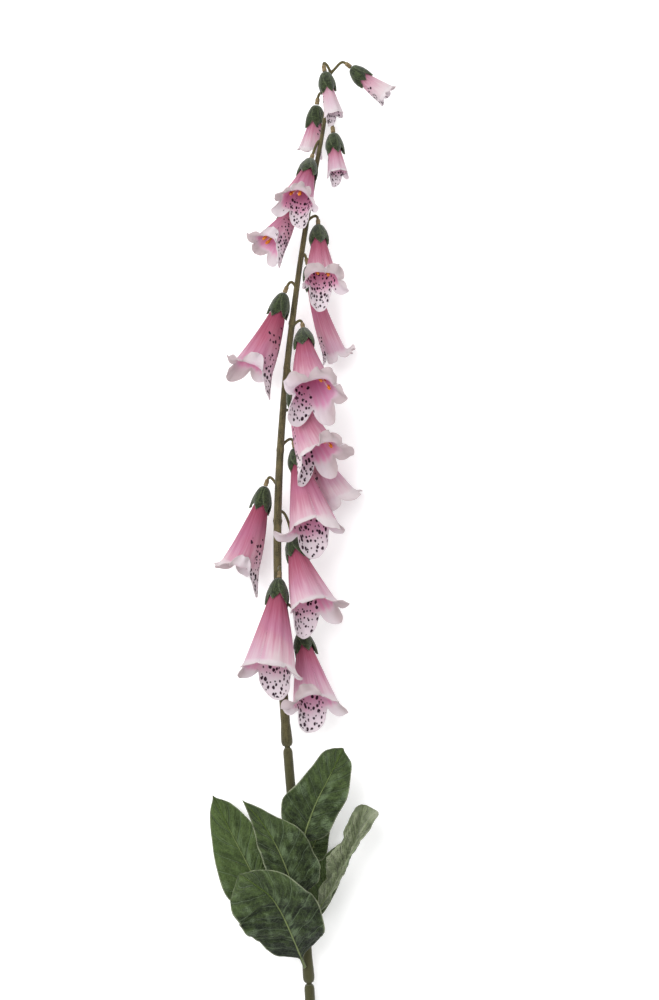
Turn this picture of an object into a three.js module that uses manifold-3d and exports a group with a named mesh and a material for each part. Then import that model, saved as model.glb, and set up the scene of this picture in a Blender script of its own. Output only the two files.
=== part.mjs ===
// A cut foxglove spike, made of wired and flocked fabric, lying on its back on a flat surface.
// Millimetres. +Z is up off the surface, +Y runs along the stem towards the tip, and the origin is
// the middle of the footprint, on the surface. The bells hang towards the foot of the stem.
import * as THREE from "three";
import { mergeVertices } from "three/addons/utils/BufferGeometryUtils.js";
import Module from "manifold-3d";

const wasm = await Module();
wasm.setup();

// ---------- driving dimensions ----------

const GAP = 0.35; // between pieces that touch on the real thing
const CLOTH = 0.7; // petal, sepal and leaf thickness
const REST_HEIGHT = 0.3; // the lowest that the middle of a cloth sheet may lie above the surface
const LOBES = 5; // petals joined in one bell, and sepals in one calyx

// The middle of the stem from foot to tip, and the stem's radius at each point.
const STEM_LINE = [
  [8.5, -310.4, 2.3],
  [4.5, -233, 12],
  [-5.5, -128, 21],
  [-12, -38, 26],
  [-13.5, 30, 28],
  [-10, 103, 28],
  [-2.5, 170, 27],
  [7, 232, 26],
  [14, 270, 25],
  [18.5, 304, 25],
].map((p) => new THREE.Vector3(...p));
const STEM_RADII = [3.1, 3.1, 2.9, 2.7, 2.4, 2.1, 1.75, 1.6, 1.25, 0.9];
const STEM_SIDES = 8;
const STEM_STEP = 20; // length of one straight facet of the stem

const UPPER_JOINT = -102; // heights of the two plug joints along Y
const LOWER_JOINT = -245.5;
const SOCKET = { radius: 3.6, swell: 14, depth: 8 };
const SPIGOT = { radius: 1.7, length: 7, neck: 1.0 };

const PEDICEL = { radius: 0.85, sides: 4, steps: 5, rise: 5, arch: 5 };
const COLLAR = { radius: 1.35, length: 3.2, sides: 6, gap: 0.6 };
const SEPAL = { least: 10.5, grows: 0.09, united: 0.5, swell: 1.2, sides: 10, foot: 1.45, plug: 0.9, ease: 0.3 };
const BELL = { sides: 20, foot: 1.5, plug: 1.0, bow: 0.03, pleat: 0.045, belly: 0.16, ease: 0.5 };
const BELL_START = SEPAL.plug + GAP + BELL.ease; // from the calyx's foot to the bell's
const ANTHER = { radius: 1.1, stretch: 1.9, offset: 0.9, spread: 0.5, clear: 4 };
const ANTHER_SHARES = [0.84, 0.97]; // where the two pairs of anthers lie, of the bell's length
const STALK = { foot: 0.45, radius: 0.7, sides: 3, steps: 3 };

// Every bell: the height where its stalk leaves the stem, its calyx, the middle of its mouth, the
// way its two upper lobes turn (degrees round the stem: 0 right, 90 off the surface, 180 left), its
// mouth's radius, the lengths of its lobes, and how far each rolls outwards (degrees). The lobes come
// in order round the mouth: upper, side, lower, side and upper.
const BELLS = [
  {
    root: 303, base: [31, 306, 25], mouth: [50.5, 290.5, 27], faces: 15, radius: 5.8,
    lobes: [3, 3, 4, 3, 3.5], rolls: [40, 30, 10, 30, 50],
  },
  {
    root: 303, base: [15, 302.5, 31], mouth: [20, 278, 38], faces: 60, radius: 5.2,
    lobes: [2.5, 3, 6.5, 3, 2.5], rolls: [15, 15, 5, 15, 15],
  },
  {
    root: 288, base: [10, 284, 17], mouth: [6.5, 259.5, 15], faces: 150, radius: 6.3,
    lobes: [4, 4, 7, 4, 4], rolls: [35, 30, 5, 30, 45],
  },
  {
    root: 273, base: [20, 266, 29], mouth: [22.5, 243, 36], faces: 70, radius: 5.6,
    lobes: [2, 4.5, 7.5, 4.5, 2], rolls: [15, 8, 5, 8, 15],
  },
  {
    root: 260.5, base: [6.5, 250, 31], mouth: [-1.5, 224, 54], faces: 112, radius: 9.2,
    lobes: [9, 9.5, 11, 8, 8.5], rolls: [45, 50, 18, 55, 185],
  },
  {
    root: 229, base: [-2, 225, 25], mouth: [-17, 199.5, 37], faces: 192, radius: 9,
    lobes: [7, 9, 14, 9, 8], rolls: [12, 15, 0, 165, 85],
  },
  {
    root: 213, base: [11, 210.5, 32], mouth: [13, 177, 52], faces: 80, radius: 9.6,
    lobes: [9, 5, 13.5, 9, 9], rolls: [165, 25, 12, 70, 150],
  },
  {
    root: 190, base: [5, 187, 25], mouth: [20, 137, 14], faces: 5, radius: 6.6,
    lobes: [8, 8, 8, 9, 9], rolls: [85, 60, 15, 70, 100],
  },
  {
    root: 173, base: [-9.5, 170, 30], mouth: [-27, 127, 34], faces: 190, radius: 11.2,
    lobes: [14, 8, 17.5, 11.5, 8], rolls: [12, 15, 10, 172, 105],
  },
  {
    root: 149.5, base: [2, 148.5, 33], mouth: [8.5, 110, 62], faces: 38, radius: 13,
    lobes: [12, 12, 16, 14, 9], rolls: [182, 130, 12, 12, 45],
  },
  {
    root: 122, base: [-4, 116.5, 32.5], mouth: [10.5, 75, 50], faces: 26, radius: 12.5,
    lobes: [11, 4, 15.5, 13, 11], rolls: [182, 8, 10, 15, 75],
  },
  {
    root: 78, base: [-3, 77, 26.5], mouth: [8, 32, 46.2], faces: 80, radius: 13.6,
    lobes: [4, 12, 15, 8, 13], rolls: [20, 105, 10, 30, 12],
  },
  {
    root: 99, base: [4, 86, 20], mouth: [20.5, 50, 14], faces: 5, radius: 11,
    lobes: [9, 9, 10, 9, 9], rolls: [60, 45, 15, 45, 60],
  },
  {
    root: 38, base: [-4.5, 24, 26], mouth: [7.4, -16, 45], faces: 55, radius: 13.2,
    lobes: [6, 4, 14, 12, 12], rolls: [45, 20, 10, 25, 60],
  },
  {
    root: 53.5, base: [-21, 54, 25], mouth: [-35.5, 9, 20], faces: 188, radius: 10.8,
    lobes: [11, 10, 17.5, 11, 8], rolls: [35, 20, 5, 172, 65],
  },
  {
    root: 2, base: [-12.5, -1, 37], mouth: [-18.5, -52, 53], faces: 112, radius: 15,
    lobes: [6, 8, 16, 9, 6], rolls: [30, 40, 8, 45, 40],
  },
  {
    root: -17, base: [1, -33, 20], mouth: [9, -74, 38], faces: 72, radius: 12.8,
    lobes: [11, 10, 14.5, 11, 7], rolls: [178, 110, 10, 45, 15],
  },
];
const FIRST_OPEN = 5; // the four bells above this one are still buds, with no stamens to see

// Every leaf: the points of its midrib from the stem to its tip, the way its upper face looks at its
// foot, middle and tip, the widths of its left and right halves at WIDTH_SHARES of its blade, the
// share of its length that is bare stalk, how far its halves fold up along the midrib (degrees),
// the height of the waves in its edge, and the number of its rows of facets.
const WIDTH_SHARES = [0, 0.15, 0.35, 0.55, 0.75, 0.9, 1];
const LEAVES = {
  leaf_front: {
    line: [
      [3, -236, 15.6], [0.5, -229, 23], [-3, -219.5, 32], [-7, -209, 41],
      [-12, -198, 48], [-18, -189, 53], [-26, -183, 53], [-36, -177, 45],
    ],
    up: [[0.1, 0.4, 1], [0, -0.1, 1], [0, -0.1, 1], [-0.1, 0.3, 1]],
    left: [1, 12.5, 20.5, 24, 24.5, 18, 6],
    right: [1, 14.5, 21.5, 22.5, 14, 7, 1.5],
    stalk: 0.1, fold: 8, wave: 1.3, rows: 14,
  },
  leaf_left: {
    line: [[-0.5, -230, 11.5], [-12, -208, 14.5], [-24, -188, 16], [-38, -162, 14], [-53, -132.5, 9]],
    up: [[0.1, 0.2, 1], [0.1, 0, 1], [0.2, 0, 1]],
    left: [1, 10, 20, 18, 12, 6, 1],
    right: [1, 6, 12, 15, 13.5, 7.5, 1],
    stalk: 0.2, fold: 6, wave: 0.9, rows: 9,
  },
  leaf_centre: {
    line: [[0, -210, 18.1], [-5, -184, 33], [-13, -163, 38], [-22, -148, 36], [-34.5, -134, 30]],
    up: [[0.2, 0.3, 1], [0.35, 0.1, 1], [0.2, 0.2, 1]],
    left: [1, 8, 14, 12, 7, 2.5, 0.6],
    right: [1, 15, 20, 17, 9, 3.5, 0.6],
    stalk: 0.16, fold: 12, wave: 2.2, rows: 9,
  },
  leaf_high: {
    line: [[-1, -168, 22], [2, -157, 28], [9, -137, 32], [18, -119, 33], [26, -103, 28]],
    up: [[-0.1, 0.2, 1], [0, 0, 1], [0.1, 0.2, 1]],
    left: [1, 14, 19, 15, 12, 9, 4],
    right: [1, 12, 15, 15, 13, 8, 1.5],
    stalk: 0.12, fold: 10, wave: 2.8, rows: 9,
  },
  leaf_high_back: {
    line: [[-0.5, -178, 13.2], [3, -173, 9], [7, -166, 2.5], [10.5, -158, 1.5], [16, -147.5, 2]],
    up: [[0, 0.2, 1], [0, 0, 1], [0, 0, 1]],
    left: [1, 6, 10, 10, 8, 4, 1],
    right: [1, 7, 9, 8, 6, 4, 1],
    stalk: 0.2, fold: 6, wave: 0.8, rows: 7,
  },
  leaf_right: {
    line: [[4.4, -212, 18.1], [14, -196, 22], [23, -181, 25], [33, -159, 27], [38, -137, 24]],
    up: [[-0.6, 0.4, 0.7], [-0.7, 0.3, 0.7], [0.1, 0.1, 1]],
    left: [1, 5, 9, 10, 9, 7, 4],
    right: [1, 7, 12, 15, 18, 17, 9],
    stalk: 0.14, fold: 55, wave: 1.8, rows: 9,
  },
  leaf_right_back: {
    line: [[4, -219, 9.2], [9, -202, 4], [14, -188, 0.3], [20, -175, 0.3], [26, -162, 2]],
    up: [[0, 0.2, 1], [0, 0, 1], [0, 0, 1]],
    left: [1, 7, 11, 11, 8, 4, 1],
    right: [1, 5, 8, 8, 6, 3, 1],
    stalk: 0.14, fold: 6, wave: 0.8, rows: 7,
  },
  leaf_left_back: {
    line: [[1, -218, 10], [-6, -204, 4], [-13, -190, 0.3], [-20, -176, 0.3], [-28, -160, 2]],
    up: [[0, 0.2, 1], [0, 0, 1], [0, 0, 1]],
    left: [1, 5, 8, 8, 6, 3, 1],
    right: [1, 5, 8, 8, 6, 3, 1],
    stalk: 0.14, fold: 6, wave: 0.8, rows: 7,
  },
};
const LEAF = { across: 6, waves: 3.5, stalkWidth: 2.0, stalkThickness: 1.6 };

// ---------- colours ----------

const finish = (color, roughness) =>
  new THREE.MeshStandardMaterial({ color, roughness, metalness: 0 });
const STEM_GREEN = finish(0x5f5a35, 0.85);
const SEPAL_GREEN = finish(0x46573a, 0.95);
const PETAL_PINK = finish(0xd994b4, 0.7);
const STAMEN_ORANGE = finish(0xe08a1e, 0.6);
const LEAF_GREEN = finish(0x3b5233, 0.85);

// ---------- helpers ----------

const vector = (xyz) => new THREE.Vector3(...xyz);
const radians = (degrees) => (degrees * Math.PI) / 180;
const mix = (a, b, t) => a + (b - a) * t;

// The four corners of a cell in a grid whose rows are a width apart.
const cell = (width, j, i, next) => [j, j, j + 1, j + 1].map((k, n) => k * width + (n % 3 ? next : i));

// Two triangles that fill a cell.
const filled = ([a, b, c, d]) => [a, b, c, a, c, d];

// The geometry with its matching corners merged, as a solid that can be joined and cut.
function solidOf(geometry) {
  const bare = new THREE.BufferGeometry();
  bare.setAttribute("position", geometry.getAttribute("position"));
  bare.setIndex(geometry.index);
  const merged = mergeVertices(bare, 1e-4);
  const made = new wasm.Manifold(
    new wasm.Mesh({
      numProp: 3,
      vertProperties: merged.getAttribute("position").array,
      triVerts: new Uint32Array(merged.index.array),
    }),
  );
  if (made.volume() > 0) return made;
  const turned = merged.index.array.slice().reverse();
  return solidOf(merged.setIndex(new THREE.BufferAttribute(turned, 1)));
}

// A solid back as a geometry, cut flat where it would sink into the surface.
function geometryOf(solid) {
  const { numProp, vertProperties, triVerts } = solid.trimByPlane([0, 0, 1], 0).getMesh();
  const geometry = new THREE.BufferGeometry();
  const corners = vertProperties.length / numProp;
  const positions = new Float32Array(corners * 3);
  for (let i = 0; i < corners; i++)
    positions.set(vertProperties.subarray(i * numProp, i * numProp + 3), i * 3);
  geometry.setAttribute("position", new THREE.BufferAttribute(positions, 3));
  geometry.setIndex(new THREE.BufferAttribute(triVerts, 1));
  geometry.computeVertexNormals();
  return geometry;
}

function piece(name, solid, material) {
  const mesh = new THREE.Mesh(geometryOf(solid), material);
  mesh.name = name;
  return mesh;
}

// A closed geometry from corner points and the triangles between them.
function closedGeometry(points, triangles) {
  const geometry = new THREE.BufferGeometry().setFromPoints(points);
  geometry.setIndex(triangles);
  return geometry;
}

// A rod along a curve, with a radius for each share of its length and a flat face at each end.
function rod(curve, radiusAt, sides, steps) {
  const frames = curve.computeFrenetFrames(steps, false);
  const points = [];
  const triangles = [];
  for (let j = 0; j <= steps; j++) {
    const middle = curve.getPointAt(j / steps);
    const radius = radiusAt(j / steps);
    for (let i = 0; i < sides; i++) {
      const turn = (2 * Math.PI * i) / sides;
      points.push(
        middle
          .clone()
          .addScaledVector(frames.normals[j], radius * Math.cos(turn))
          .addScaledVector(frames.binormals[j], radius * Math.sin(turn)),
      );
    }
  }
  const ends = [points.push(curve.getPointAt(0)) - 1, points.push(curve.getPointAt(1)) - 1];
  for (let i = 0; i < sides; i++) {
    const next = (i + 1) % sides;
    for (let j = 0; j < steps; j++) triangles.push(...filled(cell(sides, j, i, next)));
    triangles.push(ends[0], next, i, ends[1], steps * sides + i, steps * sides + next);
  }
  return solidOf(closedGeometry(points, triangles));
}

// The upright of a sheet at each of its points, from the differences to the points around.
function sheetNormals(rows, loop) {
  const last = rows[0].length - 1;
  return rows.map((row, j) => {
    const [lower, higher] = [rows[Math.max(j - 1, 0)], rows[Math.min(j + 1, rows.length - 1)]];
    return row.map((_, i) => {
      const before = loop ? (i + last) % (last + 1) : Math.max(i - 1, 0);
      const after = loop ? (i + 1) % (last + 1) : Math.min(i + 1, last);
      const along = higher[i].clone().sub(lower[i]);
      return row[after].clone().sub(row[before]).cross(along).normalize();
    });
  });
}

// Two faces either side of a sheet's middle. Both are split into triangles the same way.
function twoFaces(rows, loop, thicknessAt) {
  const normals = sheetNormals(rows, loop);
  const face = (side) =>
    rows.flatMap((row, j) =>
      row.map((p, i) => p.clone().addScaledVector(normals[j][i], (side * thicknessAt(j)) / 2)),
    );
  return [...face(1), ...face(-1)];
}

// A cup of cloth: rings of points from its foot to its rim, with a plug between the first two.
function cup(rings, thickness) {
  const sides = rings[0].length;
  const points = twoFaces(rings, true, () => thickness);
  const inner = rings.length * sides;
  const rim = (rings.length - 1) * sides;
  const middleOf = (from) =>
    points
      .slice(from, from + sides)
      .reduce((sum, p) => sum.add(p), new THREE.Vector3())
      .divideScalar(sides);
  const foot = points.push(middleOf(0)) - 1;
  const floor = points.push(middleOf(inner + sides)) - 1;
  const triangles = [];
  for (let i = 0; i < sides; i++) {
    const next = (i + 1) % sides;
    for (let j = 0; j < rings.length - 1; j++) {
      const outside = filled(cell(sides, j, i, next));
      triangles.push(...outside);
      if (j > 0) triangles.push(...outside.map((k) => inner + k).reverse());
    }
    triangles.push(...filled([rim + i, rim + next, inner + rim + next, inner + rim + i]));
    triangles.push(foot, next, i, floor, inner + sides + i, inner + sides + next);
  }
  // The inner face has no ring at the foot: the plug fills it.
  const kept = points.map((p, k) => (k >= inner && k < inner + sides ? points[0] : p));
  return solidOf(closedGeometry(kept, triangles));
}

// A blade of cloth: rows of points from its foot to its tip, closed along its four edges.
function blade(rows, thicknessAt) {
  const across = rows[0].length;
  const points = twoFaces(rows, false, thicknessAt);
  const back = rows.length * across;
  const triangles = [];
  const quad = (...corners) => triangles.push(...filled(corners));
  for (let j = 0; j < rows.length - 1; j++) {
    for (let i = 0; i < across - 1; i++) {
      const front = filled(cell(across, j, i, i + 1));
      triangles.push(...front, ...front.map((k) => back + k).reverse());
    }
    const [low, high] = [j * across, (j + 1) * across];
    quad(low, high, back + high, back + low);
    quad(low + across - 1, back + low + across - 1, back + high + across - 1, high + across - 1);
  }
  const top = (rows.length - 1) * across;
  for (let i = 0; i < across - 1; i++) {
    quad(i + 1, i, back + i, back + i + 1);
    quad(top + i, top + i + 1, back + top + i + 1, back + top + i);
  }
  return solidOf(closedGeometry(points, triangles));
}

// Cloth that would sink into the surface lies on it instead.
const onSurface = (p) => p.setZ(Math.max(p.z, REST_HEIGHT));

// ---------- stem ----------

const stemCurve = new THREE.CatmullRomCurve3(STEM_LINE, false, "centripetal");

// The share of the stem's length at which it reaches a height along Y.
function shareAt(y) {
  let [low, high] = [0, 1];
  for (let k = 0; k < 40; k++) {
    const middle = (low + high) / 2;
    if (stemCurve.getPointAt(middle).y < y) low = middle;
    else high = middle;
  }
  return low;
}

const STEM_SHARES = STEM_LINE.map((p) => shareAt(p.y));

function stemRadius(share) {
  const k = STEM_SHARES.findIndex((s, n) => n > 0 && share <= s);
  const n = k < 0 ? STEM_SHARES.length - 1 : k;
  const t = (share - STEM_SHARES[n - 1]) / (STEM_SHARES[n] - STEM_SHARES[n - 1]);
  return mix(STEM_RADII[n - 1], STEM_RADII[n], Math.min(Math.max(t, 0), 1));
}

// A part of the stem's own curve, between two heights.
class StemPart extends THREE.Curve {
  constructor(from, to) {
    super();
    this.shares = [shareAt(from), shareAt(to)];
  }

  getPoint(t, target = new THREE.Vector3()) {
    return target.copy(stemCurve.getPointAt(mix(...this.shares, t)));
  }
}

function stemPart(from, to, swellAt = () => 0) {
  const part = new StemPart(from, to);
  const steps = Math.ceil((to - from) / STEM_STEP);
  const radiusAt = (t) => stemRadius(mix(...part.shares, t)) + swellAt(mix(from, to, t));
  return rod(part, radiusAt, STEM_SIDES, steps);
}

// A straight round plug that runs along the stem from one height to another.
function plug(from, to, radius) {
  const line = new THREE.LineCurve3(
    stemCurve.getPointAt(shareAt(from)),
    stemCurve.getPointAt(shareAt(to)),
  );
  return rod(line, () => radius, STEM_SIDES, 1);
}

// The sleeve above a joint swells over its socket, and the one below sends a spigot up into it.
function socketed(sleeve, joint) {
  return sleeve.subtract(plug(joint - 1, joint + SOCKET.depth, SPIGOT.radius + GAP));
}

function spigoted(sleeve, joint) {
  return sleeve.add(plug(joint - SPIGOT.neck - 3, joint + SPIGOT.length, SPIGOT.radius));
}

// ---------- bells ----------

// The frame of a bell: its foot, its axis towards the mouth, and the way its upper lobes turn.
function bellFrame({ base, mouth, faces }) {
  const foot = vector(base);
  const axis = vector(mouth).sub(foot);
  const length = axis.length();
  axis.normalize();
  const outward = new THREE.Vector3(Math.cos(radians(faces)), 0, Math.sin(radians(faces)));
  const up = outward.addScaledVector(axis, -outward.dot(axis)).normalize();
  const side = axis.clone().cross(up);
  return { foot, axis, up, side, length };
}

// A point at a distance along the axis and a radius from it, turned from the upper side.
function bellPoint(frame, along, radius, turn) {
  const bow = -4 * BELL.bow * frame.length * (along / frame.length) * (1 - along / frame.length);
  return onSurface(
    frame.foot
      .clone()
      .addScaledVector(frame.axis, along)
      .addScaledVector(frame.up, radius * Math.cos(turn) + (along < frame.length ? bow : 0))
      .addScaledVector(frame.side, radius * Math.sin(turn)),
  );
}

// The bell's radius at a share of its length, without pleats.
function tubeRadius(bell, share) {
  return mix(BELL.foot, bell.radius, (1 + BELL.belly) * share - BELL.belly * share * share);
}

// The lower lobe is the broadest: where each lobe begins round the mouth (degrees from the upper
// notch), and how far out each notch lies, as a share of the shorter lobe beside it.
const LOBE_EDGES = [0, 68, 130, 230, 292, 360];
const NOTCHES = [0.55, 0.35, 0.2, 0.2, 0.35, 0.55];
const LOBE = { roundness: 2.4, narrowing: 0.12 };

// The columns of a bell's rings: as many on each lobe, spread between its two notches.
const BELL_COLUMNS = Array.from({ length: BELL.sides }, (_, i) => {
  const lobe = Math.floor((i * LOBES) / BELL.sides);
  const share = (i * LOBES) / BELL.sides - lobe;
  const [from, to] = [radians(LOBE_EDGES[lobe]), radians(LOBE_EDGES[lobe + 1])];
  const pleat = Math.cos((2 * Math.PI * LOBES * i) / BELL.sides);
  return { lobe, across: 2 * share - 1, turn: mix(from, to, share), half: (to - from) / 2, pleat };
});

// A point on a lobe, at a share of the way out from the mouth, rolled outwards as it goes.
function lobePoint(bell, frame, { lobe, across, turn, half, pleat }, share) {
  const whole = bell.lobes[lobe];
  const notch = (n) =>
    NOTCHES[n] * Math.min(bell.lobes[(n + LOBES - 1) % LOBES], bell.lobes[n % LOBES]);
  const low = mix(notch(lobe), notch(lobe + 1), (1 + across) / 2);
  const reach = Math.max(1 - Math.abs(across) ** LOBE.roundness, 0) ** 0.66;
  const length = mix(low, whole, reach) * share;
  const beside = bell.rolls[(lobe + (across < 0 ? LOBES - 1 : 1)) % LOBES];
  const roll = radians(mix(bell.rolls[lobe], beside, 0.5 * Math.abs(across) ** 3));
  // A lip that rolls far folds near its root.
  const bent = 1 - 0.5 * Math.min(Math.max((roll - 1.05) / 1.4, 0), 1);
  const slope = Math.atan2(bell.radius - BELL.foot, frame.length);
  const STEPS = 8;
  let [along, radius] = [frame.length, bell.radius * (1 - BELL.pleat * pleat)];
  for (let k = 0; k < STEPS; k++) {
    const gone = (length / whole) * ((k + 0.5) / STEPS);
    const angle = slope + roll * Math.min(gone / bent, 1);
    along += (Math.cos(angle) * length) / STEPS;
    radius += (Math.sin(angle) * length) / STEPS;
  }
  const narrowed = turn - (across * half * LOBE.narrowing * length) / whole;
  return bellPoint(frame, along, radius, narrowed);
}

const TUBE_SHARES = [0.5, 1];
const LOBE_SHARES = [0.5, 1];

function bellRings(bell, frame) {
  const tube = (along) => {
    const share = along / frame.length;
    return BELL_COLUMNS.map(({ turn, pleat }) =>
      bellPoint(frame, along, tubeRadius(bell, share) * (1 - BELL.pleat * pleat * share), turn),
    );
  };
  return [
    tube(BELL_START),
    tube(BELL_START + BELL.plug),
    ...TUBE_SHARES.map((share) => tube(share * frame.length)),
    ...LOBE_SHARES.map((share) =>
      BELL_COLUMNS.map((column) => lobePoint(bell, frame, column, share)),
    ),
  ];
}

// Sepals are set between the petals and lie just outside the bell.
function calyxRings(bell, frame) {
  const length = SEPAL.least + SEPAL.grows * frame.length;
  const clear = CLOTH + GAP + SEPAL.ease;
  const radiusAt = (along) =>
    tubeRadius(bell, along / frame.length) * (1 + BELL.pleat) +
    clear +
    SEPAL.swell * Math.sin((Math.PI * along) / length);
  const ring = (alongAt) =>
    Array.from({ length: SEPAL.sides }, (_, i) => {
      const turn = (2 * Math.PI * i) / SEPAL.sides;
      const along = alongAt(i % 2 === 0);
      const radius = along <= 0 ? SEPAL.foot : radiusAt(along);
      return bellPoint(frame, along, radius, turn);
    });
  const united = SEPAL.united * length;
  return [
    ring(() => 0),
    ring(() => SEPAL.plug),
    ring(() => united),
    ring((tip) => (tip ? mix(united, length, 0.55) : united + 0.8)),
    ring((tip) => (tip ? length : united + 1.6)),
  ];
}

// The stalk of one bell: it leaves the stem upwards, arches over, and comes down into its collar.
function pedicel(bell, frame) {
  const share = shareAt(bell.root);
  const start = stemCurve.getPointAt(share);
  const rise = stemCurve.getTangentAt(share);
  const end = frame.foot.clone().addScaledVector(frame.axis, -(COLLAR.length + COLLAR.gap));
  const outward = end.clone().sub(start);
  outward.addScaledVector(rise, -outward.dot(rise)).multiplyScalar(0.5);
  const leave = start.clone().addScaledVector(rise, PEDICEL.rise).add(outward);
  const arrive = end.clone().addScaledVector(frame.axis, -PEDICEL.arch);
  const stalk = new THREE.CubicBezierCurve3(start, leave, arrive, end);
  const collar = new THREE.LineCurve3(
    end.clone().addScaledVector(frame.axis, -0.6),
    end.clone().addScaledVector(frame.axis, COLLAR.length),
  );
  return rod(stalk, () => PEDICEL.radius, PEDICEL.sides, PEDICEL.steps).add(
    rod(collar, () => COLLAR.radius, COLLAR.sides, 1),
  );
}

// Four anthers in two pairs on one stalk, which runs up the bell under its upper lobes.
function stamens(bell, frame) {
  const start = BELL_START + BELL.plug + CLOTH / 2 + GAP;
  const lean = (share) => Math.max(tubeRadius(bell, share) - ANTHER.clear, 0);
  const shares = [start / frame.length, 0.4, ...ANTHER_SHARES];
  const line = new THREE.CatmullRomCurve3(
    shares.map((share) => bellPoint(frame, share * frame.length, lean(share), 0)),
  );
  const thickness = (t) => mix(STALK.foot, STALK.radius, Math.min(3 * t, 1));
  let made = rod(line, thickness, STALK.sides, STALK.steps);
  for (const share of ANTHER_SHARES) {
    for (const way of [-1, 1]) {
      const anther = new THREE.OctahedronGeometry(ANTHER.radius);
      anther.scale(1, ANTHER.stretch, 1);
      const heading = frame.axis.clone().addScaledVector(frame.side, way * ANTHER.spread);
      heading.normalize();
      const turn = new THREE.Quaternion().setFromUnitVectors(new THREE.Vector3(0, 1, 0), heading);
      const middle = bellPoint(frame, share * frame.length, lean(share), 0);
      middle.addScaledVector(frame.side, way * ANTHER.offset);
      anther.applyQuaternion(turn).translate(...middle.toArray());
      anther.deleteAttribute("normal").deleteAttribute("uv");
      made = made.add(solidOf(mergeVertices(anther)));
    }
  }
  return made;
}

// ---------- leaves ----------

// The width of one half of a leaf at a share of its length: a narrow stalk, then the blade.
function leafHalf(leaf, widths, share) {
  if (share <= leaf.stalk) return LEAF.stalkWidth / 2;
  const curve = new THREE.CubicInterpolant(WIDTH_SHARES, widths, 1);
  return Math.max(curve.evaluate((share - leaf.stalk) / (1 - leaf.stalk))[0], widths[0] / 2);
}

function leafRows(leaf) {
  const line = new THREE.CatmullRomCurve3(leaf.line.map(vector));
  const facing = new THREE.CatmullRomCurve3(leaf.up.map(vector));
  return Array.from({ length: leaf.rows + 1 }, (_, j) => {
    const share = j / leaf.rows;
    const along = line.getTangentAt(share);
    const up = facing.getPoint(share);
    up.addScaledVector(along, -up.dot(along)).normalize();
    const side = along.clone().cross(up);
    return Array.from({ length: LEAF.across + 1 }, (_, i) => {
      const across = (2 * i) / LEAF.across - 1;
      const widths = across < 0 ? leaf.left : leaf.right;
      const half = leafHalf(leaf, widths, share);
      const grown = Math.min(half / Math.max(...widths), 1);
      const fold = radians(leaf.fold) * grown;
      const wave = Math.sin(2 * Math.PI * LEAF.waves * share + (across > 0 ? 0 : 2)) * leaf.wave;
      const rise = Math.abs(across) * half * Math.sin(fold) + wave * grown * across * across;
      return onSurface(
        line
          .getPointAt(share)
          .addScaledVector(side, across * half * Math.cos(fold))
          .addScaledVector(up, rise),
      );
    });
  });
}

const leafThickness = (leaf) => (j) =>
  mix(LEAF.stalkThickness, CLOTH, Math.min(j / leaf.rows / (leaf.stalk * 1.5), 1));

// ---------- assembly ----------

const spike = new THREE.Group();
const foot = STEM_LINE[0].y;
const tip = STEM_LINE[STEM_LINE.length - 1].y;
const swell = (y) => {
  const share = (y - UPPER_JOINT) / SOCKET.swell;
  return share < 1 ? (SOCKET.radius - stemRadius(shareAt(y))) * Math.cos((share * Math.PI) / 2) : 0;
};

let upper = socketed(stemPart(UPPER_JOINT, tip, swell), UPPER_JOINT);
const number = (index) => String(index + 1).padStart(2, "0");
BELLS.forEach((bell, index) => {
  const frame = bellFrame(bell);
  upper = upper.add(pedicel(bell, frame));
  spike.add(piece(`calyx_${number(index)}`, cup(calyxRings(bell, frame), CLOTH), SEPAL_GREEN));
  spike.add(piece(`bell_${number(index)}`, cup(bellRings(bell, frame), CLOTH), PETAL_PINK));
  if (index + 1 >= FIRST_OPEN)
    spike.add(piece(`stamens_${number(index)}`, stamens(bell, frame), STAMEN_ORANGE));
});
spike.add(piece("stem_upper", upper, STEM_GREEN));
const middle = spigoted(stemPart(LOWER_JOINT, UPPER_JOINT - SPIGOT.neck), UPPER_JOINT);
spike.add(piece("stem_middle", socketed(middle, LOWER_JOINT), STEM_GREEN));
const lower = spigoted(stemPart(foot, LOWER_JOINT - SPIGOT.neck), LOWER_JOINT);
spike.add(piece("stem_foot", lower, STEM_GREEN));
for (const [name, leaf] of Object.entries(LEAVES))
  spike.add(piece(name, blade(leafRows(leaf), leafThickness(leaf)), LEAF_GREEN));

export default spike;
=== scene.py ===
import math

import bpy
import numpy as np
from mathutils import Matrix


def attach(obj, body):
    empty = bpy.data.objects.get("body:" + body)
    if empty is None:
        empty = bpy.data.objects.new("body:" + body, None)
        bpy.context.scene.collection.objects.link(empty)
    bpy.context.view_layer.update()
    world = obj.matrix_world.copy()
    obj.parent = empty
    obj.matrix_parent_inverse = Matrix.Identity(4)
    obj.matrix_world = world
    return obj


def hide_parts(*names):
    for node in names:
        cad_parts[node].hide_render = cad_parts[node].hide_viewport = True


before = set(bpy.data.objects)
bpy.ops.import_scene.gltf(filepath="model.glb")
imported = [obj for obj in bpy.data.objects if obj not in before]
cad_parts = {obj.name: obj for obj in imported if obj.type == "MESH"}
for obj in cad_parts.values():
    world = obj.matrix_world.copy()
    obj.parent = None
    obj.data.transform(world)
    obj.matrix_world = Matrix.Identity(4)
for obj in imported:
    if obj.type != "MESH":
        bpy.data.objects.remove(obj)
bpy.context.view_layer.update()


# Stem. A stiff wire in three plastic tubes, flocked olive brown. The foot of each upper tube is a
# swollen socket that is pushed over the spigot of the tube below, and a groove is left between them.
MM = 0.001  # sizes are in millimetres and meshes in metres, and so are the table and the lamp
STEM_LINE = [
    (8.5, -310.4, 2.3), (4.5, -233, 12), (-5.5, -128, 21), (-12, -38, 26), (-13.5, 30, 28),
    (-10, 103, 28), (-2.5, 170, 27), (7, 232, 26), (14, 270, 25), (18.5, 304, 25),
]
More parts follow.
